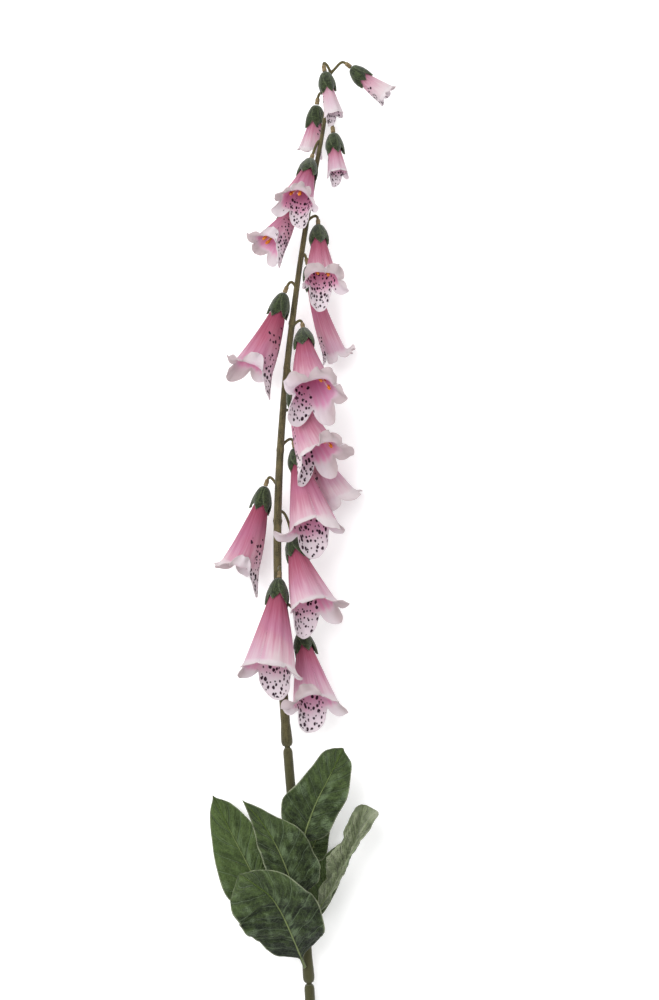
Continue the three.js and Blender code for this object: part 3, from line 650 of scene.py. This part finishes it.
def sepal(bell, number, leaf):
    """One sepal, an egg-shaped sheet that is cupped round the bell and lifts a little at its tip."""
    luck = np.random.default_rng(300 + 10 * number + leaf)
    length = (10.5 + 0.09 * bell["length"]) * luck.uniform(0.92, 1.12)
    middle = 2 * np.pi * leaf / 5 + luck.uniform(-0.06, 0.06)
    lift = luck.uniform(-0.6, 0.5)
    widest = 0.31 * length + 0.3

    def laid(column, row):
        return 2 * column / SEPAL_COLUMNS - 1, row / SEPAL_ROWS

    def place(column, row):
        across, share = laid(column, row)
        along = share * length
        half = widest * np.sin(np.pi * np.clip(share, 0, 1) ** 0.8) ** 0.62 * (1 - 0.1 * share)
        half = np.where(share < 0.3, np.maximum(half, 1.2), half)
        along = along - 0.10 * length * across**2 * share**3
        around = tube_radius(bell, along / bell["length"]) * (1 + BELL_PLEAT)
        radius = around + SEPAL_CLEAR + SEPAL_SWELL * np.sin(np.pi * share) + lift * share**4
        eased = np.clip(share / 0.12, 0, 1)
        radius = SEPAL_FOOT + (radius - SEPAL_FOOT) * np.sqrt(eased * (2 - eased))
        radius = radius + 0.32 * across * np.clip(share * 3, 0, 1)
        radius = radius + 0.35 * np.cos(np.pi * across) * share
        turn = middle + across * half / radius
        return round_bell(bell, along, radius, turn)

    piece = shaped_grid(f"sepal_{number:02d}_{leaf}", SEPAL_COLUMNS, SEPAL_ROWS, place)
    across, share = laid(*grid_order(SEPAL_COLUMNS, SEPAL_ROWS))
    store(piece, "sepal", across, share, across * 0)
    closed_up(piece, from_axis(bell))
    return thickened(piece, SEPAL_CLOTH, sepal_felt, sepal_felt)


def joined(pieces, name):
    """Several pieces as one object."""
    pick(*pieces)
    bpy.ops.object.join()
    whole = bpy.context.object
    whole.name = whole.data.name = name
    return whole


for number, bell in enumerate(BELLS, 1):
    sepals = [sepal(bell, number, leaf) for leaf in range(5)]
    knob_line = np.array([bell["foot"] + bell["axis"] * step for step in KNOB_STEPS])
    knob = tube(f"knob_{number:02d}", knob_line, KNOB_RADII, 16)
    knob.data.materials.append(sepal_felt)
    calyx = joined([*sepals, knob], f"sepals_{number:02d}")
    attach(calyx, "root")
    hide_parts(f"calyx_{number:02d}")


# Flower stalks. Thin wires flocked like the stem. Each leaves the stem upwards and arches over into a
# collar of beige tape, which binds it to the knob under its calyx.
STALK_RADIUS, STALK_POINTS, STALK_REACH = 0.85, 36, 5
COLLAR_LENGTH, COLLAR_GAP = 3.2, 0.6
COLLAR_STEPS = (-0.9, -0.5, 0.2, 1.0, 1.25, 1.5, 2.3, 2.9, 3.2)
COLLAR_RADII = (0.95, 1.25, 1.35, 1.38, 1.24, 1.36, 1.42, 1.38, 1.1)


def tape_finish():
    finish = Finish("collar_tape")
    at = finish.place()
    stain = finish.noise(at, 0.5, 3.0, 0.6)
    wrinkle = finish.noise(at, 1.6, 3.0, 0.7)
    colour = finish.mixed(stain.rises(0.4, 0.7) * 0.8, paint(132, 116, 86), paint(80, 64, 40))
    return finish.done(finish.shader(
        Base_Color=colour, Roughness=0.8, Normal=finish.bump(wrinkle, 0.3 * MM, 0.8),
        Specular_IOR_Level=0.3,
    ))


collar_tape = tape_finish()
stalk_nap = flocked("stalk_nap", paint(52, 46, 26), paint(104, 96, 58))
for number, bell in enumerate(BELLS, 1):
    k = int(np.argmin(np.abs(stem_line[:, 1] - bell["root"])))
    start = stem_line[k]
    rise = unit(stem_line[min(k + 1, len(stem_line) - 1)] - stem_line[k - 1])
    end = bell["foot"] - bell["axis"] * (COLLAR_LENGTH + COLLAR_GAP)
    outward = (end - start) - rise * ((end - start) @ rise)
    leave, arrive = start + STALK_REACH * rise + outward / 2, end - STALK_REACH * bell["axis"]
    t = np.linspace(0, 1, 60)[:, None]
    arch = (1 - t) ** 3 * start + 3 * t * (1 - t) ** 2 * leave
    arch = arch + 3 * t**2 * (1 - t) * arrive + t**3 * end
    arch = evenly(arch, STALK_POINTS)
    share = np.linspace(0, 1, STALK_POINTS)
    stalk = tube(f"stalk_{number:02d}", arch, STALK_RADIUS * (1 + 0.5 * np.exp(-share * 14)), 14)
    stalk.data.materials.append(stalk_nap)
    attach(stalk, "root")
    collar_line = end + np.array(COLLAR_STEPS)[:, None] * bell["axis"]
    bound = tube(
        f"collar_{number:02d}", collar_line, COLLAR_RADII, 18,
        lambda turn, k: 1 + 0.03 * np.sin(3 * turn + k),
    )
    bound.data.materials.append(collar_tape)
    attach(bound, "root")


# Stamens. Four wire filaments dipped in wax lie under the upper side of each open bell, and each
# carries a curved orange anther of moulded plastic.
FIRST_OPEN = 5
ANTHER_SHARES = (0.84, 0.86, 0.97, 0.94)  # how far down its bell each anther lies
FILAMENT_POINTS, FILAMENT_RADII, FILAMENT_DEPTH = 20, (0.45, 0.3), 4
ANTHER_POINTS, ANTHER_HALF, ANTHER_ASIDE, ANTHER_BOW = 14, 1.9, 0.9, 0.8


def stamen_finish(name, dark, light, roughness):
    finish = Finish(name)
    at = finish.place()
    grain = finish.noise(at, 1.5, 3.0, 0.6)
    colour = finish.mixed(grain.rises(0.35, 0.65), dark, light)
    return finish.done(finish.shader(
        Base_Color=colour, Roughness=roughness, Normal=finish.bump(grain, 0.1 * MM, 0.6),
    ))


anther_orange = stamen_finish("anther_orange", paint(190, 92, 8), paint(236, 152, 38), 0.5)
filament_wax = stamen_finish("filament_wax", paint(226, 178, 168), paint(240, 214, 200), 0.5)
for number, bell in enumerate(BELLS, 1):
    if number < FIRST_OPEN:
        continue
    made = []
    for k, share in enumerate(ANTHER_SHARES):
        way = (-1, 1)[k % 2]
        shares = np.linspace(0.1, share, FILAMENT_POINTS)
        lean = np.maximum(tube_radius(bell, shares) - FILAMENT_DEPTH, 0)
        turn = way * np.linspace(0, 0.16 + 0.12 * (k // 2), FILAMENT_POINTS)
        line = round_bell(bell, shares * bell["length"], lean, turn)
        thin = np.linspace(*FILAMENT_RADII, FILAMENT_POINTS)
        filament = tube(f"filament_{number:02d}_{k}", line, thin, 8)
        filament.data.materials.append(filament_wax)
        heading, aside = unit(line[-1] - line[-3]), bell["side"] * way
        bend = np.linspace(-1, 1, ANTHER_POINTS)[:, None]
        spine = line[-1] + heading * bend * ANTHER_HALF
        spine = spine + aside * (ANTHER_ASIDE + ANTHER_BOW * (1 - bend**2))
        fat = 0.2 + 0.85 * np.sqrt(np.maximum(1 - bend[:, 0] ** 2, 0))
        anther = tube(
            f"anther_{number:02d}_{k}", spine, fat, 14,
            lambda turn, k: 1 - 0.22 * np.cos(2 * turn) ** 8,
        )
        anther.data.materials.append(anther_orange)
        made += [filament, anther]
    group = joined(made, f"stamen_group_{number:02d}")
    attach(group, "root")
    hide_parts(f"stamens_{number:02d}")


# Leaves. Velour-faced cloth, die cut, with veins pressed in by a hot die and a green wire glued along
# the back as a midrib. The wires are bent by hand and wound onto the stem.
WIDTH_SHARES = (0, 0.15, 0.35, 0.55, 0.75, 0.9, 1)

# line is the midrib, up is the way the upper side looks along it, and left and right are the widths to
# both sides of it at WIDTH_SHARES of the blade, which starts at stalk. fold is the angle of each half
# in degrees. wave and crumple are the heights of its waves and dents. shade lightens the cloth, and
# tip_shade its tip. A pale leaf shows its back.
LEAVES = dict(
    leaf_front=dict(
        line=((3, -236, 15.6), (0.5, -229, 23), (-3, -219.5, 32), (-7, -209, 41),
              (-12, -198, 48), (-18, -189, 53), (-26, -183, 53), (-36, -177, 45)),
        up=((0.1, 0.4, 1), (0, -0.1, 1), (0, -0.1, 1), (-0.1, 0.3, 1)),
        left=(1, 12.5, 20.5, 24, 24.5, 18, 6), right=(1, 14.5, 21.5, 22.5, 14, 7, 1.5),
        stalk=0.1, fold=8, wave=1.3, crumple=1.0, shade=0.0, tip_shade=0.7),
    leaf_left=dict(
        line=((-0.5, -230, 11.5), (-12, -208, 14.5), (-24, -188, 16), (-38, -162, 14), (-53, -132.5, 9)),
        up=((0.1, 0.2, 1), (0.1, 0, 1), (0.2, 0, 1)),
        left=(1, 10, 20, 18, 12, 6, 1), right=(1, 6, 12, 15, 13.5, 7.5, 1),
        stalk=0.2, fold=6, wave=0.9, crumple=0.6, shade=0.75),
    leaf_centre=dict(
        line=((0, -210, 18.1), (-5, -184, 33), (-13, -163, 38), (-22, -148, 36), (-34.5, -134, 30)),
        up=((0.2, 0.3, 1), (0.35, 0.1, 1), (0.2, 0.2, 1)),
        left=(1, 8, 14, 12, 7, 2.5, 0.6), right=(1, 15, 20, 17, 9, 3.5, 0.6),
        stalk=0.16, fold=12, wave=2.2, crumple=1.1, shade=0.3),
    leaf_high=dict(
        line=((-1, -168, 22), (2, -157, 28), (9, -137, 32), (18, -119, 33), (26, -103, 28)),
        up=((-0.1, 0.2, 1), (0, 0, 1), (0.1, 0.2, 1)),
        left=(1, 14, 19, 15, 12, 9, 4), right=(1, 12, 15, 15, 13, 8, 1.5),
        stalk=0.12, fold=10, wave=2.8, crumple=1.1, shade=0.4),
    leaf_high_back=dict(
        line=((-0.5, -178, 13.2), (3, -173, 9), (7, -166, 2.5), (10.5, -158, 1.5), (16, -147.5, 2)),
        up=((0, 0.2, 1), (0, 0, 1), (0, 0, 1)),
        left=(1, 6, 10, 10, 8, 4, 1), right=(1, 7, 9, 8, 6, 4, 1),
        stalk=0.2, fold=6, wave=0.8, crumple=0.4, shade=0.8),
    leaf_right=dict(
        line=((4.4, -212, 18.1), (14, -196, 22), (23, -181, 25), (33, -159, 27), (38, -137, 24)),
        up=((-0.6, 0.4, 0.7), (-0.7, 0.3, 0.7), (0.1, 0.1, 1)),
        left=(1, 5, 9, 10, 9, 7, 4), right=(1, 7, 12, 15, 18, 17, 9),
        stalk=0.14, fold=55, wave=1.8, crumple=1.5, shade=0.95, pale=True),
    leaf_right_back=dict(
        line=((4, -219, 9.2), (9, -202, 4), (14, -188, 0.3), (20, -175, 0.3), (26, -162, 2)),
        up=((0, 0.2, 1), (0, 0, 1), (0, 0, 1)),
        left=(1, 7, 11, 11, 8, 4, 1), right=(1, 5, 8, 8, 6, 3, 1),
        stalk=0.14, fold=6, wave=0.8, crumple=0.4, shade=0.8),
    leaf_left_back=dict(
        line=((1, -218, 10), (-6, -204, 4), (-13, -190, 0.3), (-20, -176, 0.3), (-28, -160, 2)),
        up=((0, 0.2, 1), (0, 0, 1), (0, 0, 1)),
        left=(1, 5, 8, 8, 6, 3, 1), right=(1, 5, 8, 8, 6, 3, 1),
        stalk=0.14, fold=6, wave=0.8, crumple=0.4, shade=0.3),
)
LEAF_COLUMNS, LEAF_ROWS = 48, 96
LEAF_WAVES, LEAF_FRILLS, LEAF_STALK, LEAF_CLOTH = 3.5, 9, 1.0, 0.5
SIDE_VEINS, VEIN_SLANT = 8, 0.2
RIB_SHARE, RIB_RADII, RIB_DEPTH, RIB_REST = 0.93, (0.95, 0.45), 0.55, 0.6


def leaf_finish(name, hollow_shade, dark, light, vein_and_highlight, midrib, sheen):
    """Velour, darker in its hollows as painted shade, and lighter at its veins and its cut edge.

    Its ridges are lighter where the nap is rubbed and where painted highlight lies, and a strip
    beside its midrib is lighter as painted highlight.
    """
    finish = Finish(name)
    at, blade, veins = finish.place(), finish.attribute("blade"), finish.attribute("veins")
    across, _, share = finish.parts(blade)
    phase, shade, relief = finish.parts(veins)
    grain = finish.noise(at, 1.7, 3.0, 0.7)
    patches = finish.noise(at, 0.11, 4.0, 0.6)
    across_veins = finish.node("CombineXYZ", None, {0: phase * 2.4, 1: across * 0.11, 2: shade})
    wrinkles = finish.noise(across_veins, 1.0, 3.0, 0.62)
    tone = grain.rises(0.32, 0.68) * 0.34 + wrinkles.rises(0.34, 0.66) * 0.42 + shade * 0.8
    tone = tone + patches.rises(0.34, 0.66) * 0.16 - 0.18
    velour = finish.mixed(tone, dark, light)
    # Painted shade: the dents are darkened the deeper they lie.
    velour = finish.mixed(relief.rises(0.0, -1.2) * 0.4, velour, hollow_shade)
    # Ridges and wrinkle crests turn pale: partly the nap rubbed on the ridges, and partly painted
    # highlight where they catch the light.
    worn_and_highlit_ridges = relief.rises(0.2, 1.4) * grain.rises(0.3, 0.6) * 0.5
    velour = finish.mixed(worn_and_highlit_ridges.most(wrinkles.rises(0.6, 0.74) * 0.4), velour, vein_and_highlight)
    # A strip beside the midrib is painted silvery, as painted highlight where the fold catches the
    # light.
    midrib_highlight = (1.0 - abs(across - 2.6).rises(0.6, 3.4)) * share.rises(0.08, 0.3)
    midrib_highlight = midrib_highlight * share.rises(0.9, 0.5) * (wrinkles.rises(0.4, 0.62) * 0.42 + 0.04)
    velour = finish.mixed(midrib_highlight, velour, vein_and_highlight)
    wobble = (finish.noise(at, 0.2, 2.0) - 0.5) * 0.12
    side = abs((phase + wobble).part() - 0.5) * 2.0
    side_vein = side.rises(0.86, 1.0) * abs(across).rises(0.3, 1.2)
    mesh = finish.node(
        "TexVoronoi", {"voronoi_dimensions": "2D", "feature": "DISTANCE_TO_EDGE"},
        {"Vector": finish.stretched(blade, (0.34, 0.34, 0.0)), "Scale": 1.0},
    )
    net = 1.0 - mesh.rises(0.02, 0.2)
    rib = 1.0 - abs(across).rises(0.2, 0.75)
    rubbed = patches.rises(0.5, 0.75) * (1.0 - share * 0.5)
    veined = finish.mixed((side_vein * 0.45).most(net * 0.08), velour, vein_and_highlight)
    from_edge, _, _ = finish.parts(finish.attribute("edge"))
    frayed = 0.15 + grain.rises(0.35, 0.6) * 0.3 + patches.rises(0.4, 0.6) * 0.3
    frayed = (1.0 - from_edge.rises(0.2, 0.9)) * frayed
    veined = finish.mixed(frayed, veined, paint(150, 156, 128))
    colour = finish.mixed(rib * (0.8 - share * 0.45) * (0.6 + rubbed * 0.4), veined, midrib)
    height = grain * 0.5 + wrinkles * 2.4 + patches * 1.2 - side_vein * 0.6 - net * 0.15 + rib * 0.8
    nap = finish.bump(height, 1.2 * MM, 1.0)
    return finish.done(finish.shader(
        Base_Color=colour, Roughness=0.65, Normal=nap, Sheen_Weight=sheen, Sheen_Roughness=0.45,
        Specular_IOR_Level=0.22,
    ))


leaf_face = leaf_finish(
    "leaf_face", hollow_shade=paint(7, 13, 5), dark=paint(14, 24, 8), light=paint(78, 96, 50),
    vein_and_highlight=paint(112, 130, 98), midrib=paint(98, 124, 26), sheen=0.03)
leaf_back = leaf_finish(
    "leaf_back", hollow_shade=paint(22, 30, 14), dark=paint(34, 46, 22), light=paint(122, 132, 100),
    vein_and_highlight=paint(166, 170, 146), midrib=paint(98, 116, 40), sheen=0.08)


def width_at(widths, share):
    """Half the width of a blade at a share of its length, eased through the widths that are given."""
    t, w = np.array(WIDTH_SHARES, float), np.array(widths, float)
    t = np.concatenate([[2 * t[0] - t[1]], t, [2 * t[-1] - t[-2]]])
    w = np.concatenate([[w[1]], w, [w[-2]]])
    k = np.clip(np.searchsorted(t, share, side="right") - 1, 1, len(t) - 3)
    span = t[k + 1] - t[k]
    p = (share - t[k]) / span
    before, after = span / 2 / (t[k] - t[k - 1]), span / 2 / (t[k + 2] - t[k + 1])
    return (
        w[k - 1] * (-before * p**3 + 2 * before * p**2 - before * p)
        + w[k] * ((1 + before) * p**3 + (-1.5 - 2 * before) * p**2 + (-0.5 + before) * p + 1)
        + w[k + 1] * ((-1 - after) * p**3 + (1.5 + after) * p**2 + 0.5 * p)
        + w[k + 2] * (after * p**3 - after * p**2)
    )


def leaf_blade(name, leaf):
    """One leaf: a blade, shaped from a grid along its midrib, and the wire that lies along its back."""
    columns, rows = LEAF_COLUMNS, LEAF_ROWS
    line = through(leaf["line"], rows + 1)
    length = np.linalg.norm(np.diff(line, axis=0), axis=1).sum()
    tangents = unit(np.gradient(line, axis=0))
    ups = through(leaf["up"], at=np.linspace(0, 1, rows + 1))
    ups = unit(ups - tangents * (ups * tangents).sum(axis=1)[:, None])
    sides = np.cross(tangents, ups)
    phases = np.random.default_rng(len(name) * 7 + rows).uniform(0, 6.28, 6)

    def laid(column, row):
        """Where on the flat blade each point is, how wide the blade is there, and its side veins."""
        across, share = 2 * column / columns - 1, row / rows
        blade = np.clip((share - leaf["stalk"]) / (1 - leaf["stalk"]), 0, 1)
        half = np.where(across < 0, width_at(leaf["left"], blade), width_at(leaf["right"], blade))
        half = np.where(share <= leaf["stalk"], LEAF_STALK, np.maximum(half, 0.5))
        # The tip is rounded off to a point.
        half = half * np.sqrt(np.clip((1.0 - share) / 0.035, 0.04, 1))
        ragged = 0.03 * np.sin(14 * share + 2 * across + phases[1])
        ragged = ragged + 0.015 * np.sin(23 * share - 3 * across + phases[2])
        half = half * (1 + ragged * (half > 3))
        widest = np.where(across < 0, max(leaf["left"]), max(leaf["right"]))
        grown = np.minimum(half / widest, 1)
        phase = SIDE_VEINS * (blade - VEIN_SLANT * np.abs(across) ** 0.85)
        return across, share, blade, half, grown, phase + np.where(across < 0, 0.35, 0.0)

    def raised(column, row):
        """How far out from the midrib and above it each point lies, and how far it is dented."""
        across, share, _, half, grown, phase = laid(column, row)
        fold = math.radians(leaf["fold"]) * grown
        wave = np.sin(2 * np.pi * LEAF_WAVES * share + np.where(across > 0, 0, 2)) * leaf["wave"]
        frill = 0.45 * np.sin(2 * np.pi * LEAF_FRILLS * share + 3 * across + phases[0])
        frill = frill * np.abs(across) ** 3
        quilt = 0.45 * np.abs(np.sin(np.pi * phase)) * np.minimum(np.abs(across) * 4, 1)
        quilt = quilt * (1 - np.abs(across) ** 4)
        groove = -0.35 * np.exp(-((across * half / 1.4) ** 2)) * grown
        x, y = across * half, share * length
        crumple = np.sin(0.42 * x + 0.18 * y + phases[3]) * np.sin(0.11 * x - 0.31 * y + phases[4])
        fine = np.sin(0.95 * x + 0.5 * y + phases[5]) * np.sin(0.4 * x - 0.8 * y + phases[1])
        crumple = crumple + 0.5 * fine
        frill = frill + leaf["crumple"] * crumple * np.minimum(np.abs(across) * 3, 1)
        relief = (frill + wave * across**2 * 0.6) * grown
        rise = np.abs(x) * np.sin(fold) + (wave * across**2 + frill + quilt) * grown + groove
        return x * np.cos(fold), rise, relief

    def place(column, row):
        out, rise, _ = raised(column, row)
        spots = line[row] + out[:, None] * sides[row] + rise[:, None] * ups[row]
        spots[:, 2] = np.maximum(spots[:, 2], REST_HEIGHT)
        return spots

    piece = shaped_grid(name + "_blade", columns, rows, place)
    across, share, blade, half, _, phase = laid(*grid_order(columns, rows))
    _, _, relief = raised(*grid_order(columns, rows))
    store(piece, "blade", across * half, share * length, blade)
    store(piece, "edge", (1 - np.abs(across)) * half, across * 0, across * 0)
    # The blade darkens towards its foot: painted shade near the stem, where the leaves lie under one
    # another.
    shade = leaf["shade"] + leaf.get("tip_shade", 0) * blade**6 - 0.55 * (1 - blade) ** 2
    store(piece, "veins", phase, shade, relief)
    mean_up = ups.mean(axis=0)
    closed_up(piece, lambda middles: np.broadcast_to(mean_up, middles.shape))
    finishes = (leaf_back, leaf_face) if leaf.get("pale") else (leaf_face, leaf_back)
    thickened(piece, LEAF_CLOTH, *finishes)
    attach(piece, "root")
    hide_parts(name)
    rib_rows = int(rows * RIB_SHARE)
    rib_line = line[:rib_rows] - ups[:rib_rows] * RIB_DEPTH
    rib_line[:, 2] = np.maximum(rib_line[:, 2], RIB_REST)
    rib = tube(name + "_wire", rib_line, np.linspace(*RIB_RADII, rib_rows), 10)
    rib.data.materials.append(leaf_back)
    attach(rib, "root")


for name, leaf in LEAVES.items():
    leaf_blade(name, leaf)


# Table, light and camera. The spike lies on a plain pale table under a wide soft lamp, in a pale
# room, and the camera looks straight down on it from 2.5 m.
TABLE_SIZE, ROOM_LIGHT = 8, 0.95
LAMP_AT, LAMP_SIZE, LAMP_POWER = (-0.9, 0.7, 2.2), 1.6, 42
VIEW_CENTRE, VIEW_PLANE, VIEW_DISTANCE, VIEW_TALL, SENSOR = (17.7, 46.2), 30, 2500, 600, 36
bpy.ops.object.select_all(action="DESELECT")
bpy.ops.mesh.primitive_plane_add(size=TABLE_SIZE)
table_top = bpy.context.object
table_top.name = "table_top"
table_finish = Finish("table_finish")
mottle = table_finish.noise(table_finish.place(), 0.01, 2.0)
table_top.data.materials.append(table_finish.done(table_finish.shader(
    Base_Color=table_finish.mixed(mottle, paint(250, 250, 250), paint(253, 253, 253)),
    Roughness=0.9, Specular_IOR_Level=0.1, Emission_Color=paint(255, 255, 255),
    Emission_Strength=0.18,
)))

world = bpy.data.worlds.new("pale_room")
bpy.context.scene.world = world
world.use_nodes = True
room = world.node_tree.nodes["Background"]
room.inputs["Color"].default_value = (1, 1, 1, 1)
room.inputs["Strength"].default_value = ROOM_LIGHT

bpy.ops.object.light_add(type="AREA", location=LAMP_AT)
lamp = bpy.context.object
lamp.name = "soft_lamp"
lamp.data.shape, lamp.data.size, lamp.data.energy = "SQUARE", LAMP_SIZE, LAMP_POWER
lamp.rotation_mode = "QUATERNION"
lamp.rotation_quaternion = (-lamp.location).to_track_quat("-Z", "Y")

eye = (*VIEW_CENTRE, VIEW_PLANE + VIEW_DISTANCE)
bpy.ops.object.camera_add(location=[v * MM for v in eye], rotation=(0, 0, 0))
camera = bpy.context.object
camera.data.sensor_width = SENSOR
camera.data.lens = SENSOR * VIEW_DISTANCE / VIEW_TALL
camera.data.clip_start, camera.data.clip_end = 0.1, 20
bpy.context.scene.camera = camera
bpy.context.scene.view_settings.view_transform = "Standard"
